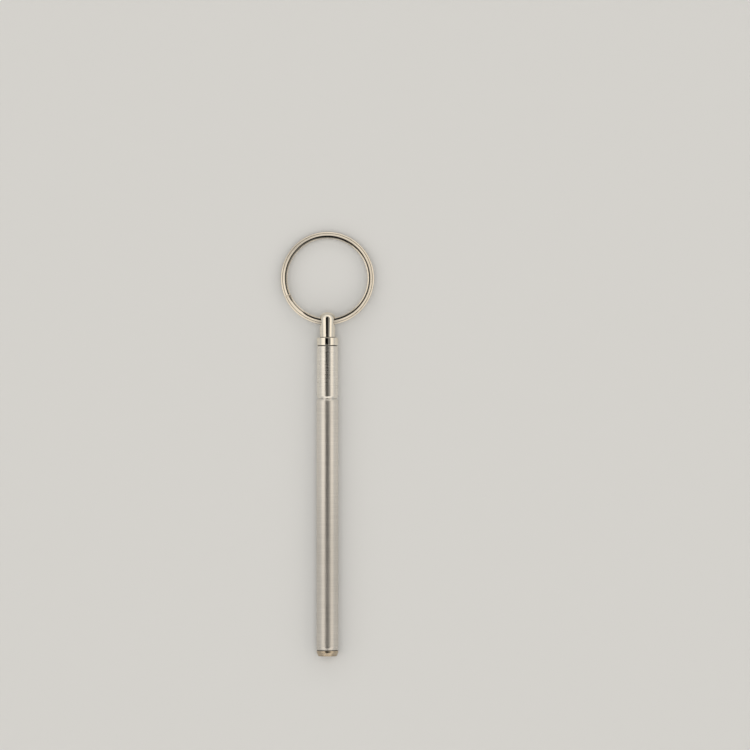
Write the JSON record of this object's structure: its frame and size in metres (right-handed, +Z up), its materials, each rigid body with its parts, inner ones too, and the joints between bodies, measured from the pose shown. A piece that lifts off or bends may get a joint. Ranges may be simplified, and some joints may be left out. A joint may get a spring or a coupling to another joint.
{
  "type": "telescopic pen",
  "caption": "Slim telescopic ball-point pen: a brushed tube barrel, an inner tube that slides out to write, a pull-off cap, and a split ring in the cap's eye for keys.",
  "frame": {"origin": "on the surface that the pen lies on, under the middle of its closed length", "axes": "+Y along the pen from its end plug towards its ring, +Z up from the surface, +X across the ring"},
  "size_m": [0.0256, 0.1164, 0.006],
  "materials": {
    "brushed_tube_steel": "brushed round the tube, satin",
    "drawn_tube_steel": "drawn tube, smooth satin",
    "turned_plug_brass": "turned, pale, fine rings",
    "polished_finial_steel": "polished",
    "polished_nose_steel": "polished",
    "nickel_ring_wire": "nickel plated, bright",
    "turned_brass": "turned",
    "refill_tube_steel": "plated, plain",
    "refill_point_brass": "turned, bright",
    "writing_ball_carbide": "ground",
    "writing_ink": "wet",
    "liner_nylon": "moulded"
  },
  "bodies": {
    "barrel": {"barrel_tube": "brushed_tube_steel", "end_plug": "turned_plug_brass", "guide_bush": "turned_brass"},
    "shoes": {"friction_shoe_left": "turned_brass", "friction_shoe_right": "turned_brass"},
    "writing_tube": {"slide_tube": "drawn_tube_steel", "tail_bush": "turned_brass", "nose_cone": "polished_nose_steel", "refill_tube": "refill_tube_steel", "ink_column": "writing_ink", "refill_point": "refill_point_brass"},
    "ball": {"writing_ball": "writing_ball_carbide"},
    "cap": {"cap_tube": "brushed_tube_steel", "cap_liner": "liner_nylon", "cap_finial": "polished_finial_steel"},
    "ring": {"key_ring": "nickel_ring_wire"}
  },
  "joints": [
    {"name": "tube_slide", "type": "slide", "parent": "barrel", "child": "shoes", "axis": [0, 1, 0], "range_m": [0, 0.044]},
    {"name": "tube_turn", "type": "hinge", "parent": "shoes", "child": "writing_tube", "pos_m": [0, -0.04079, 0.003], "axis": [0, 1, 0], "continuous": true},
    {"name": "ball_roll", "type": "hinge", "parent": "writing_tube", "child": "ball", "pos_m": [0, 0.02621, 0.003], "axis": [1, 0, 0], "continuous": true},
    {"name": "cap_pull", "type": "slide", "parent": "writing_tube", "child": "cap", "axis": [0, 1, 0], "range_m": [0, 0.025]},
    {"name": "ring_swing", "type": "hinge", "parent": "cap", "child": "ring", "pos_m": [0, 0.03356, 0.003], "axis": [1, 0, 0], "range_deg": [0, 172]}
  ]
}
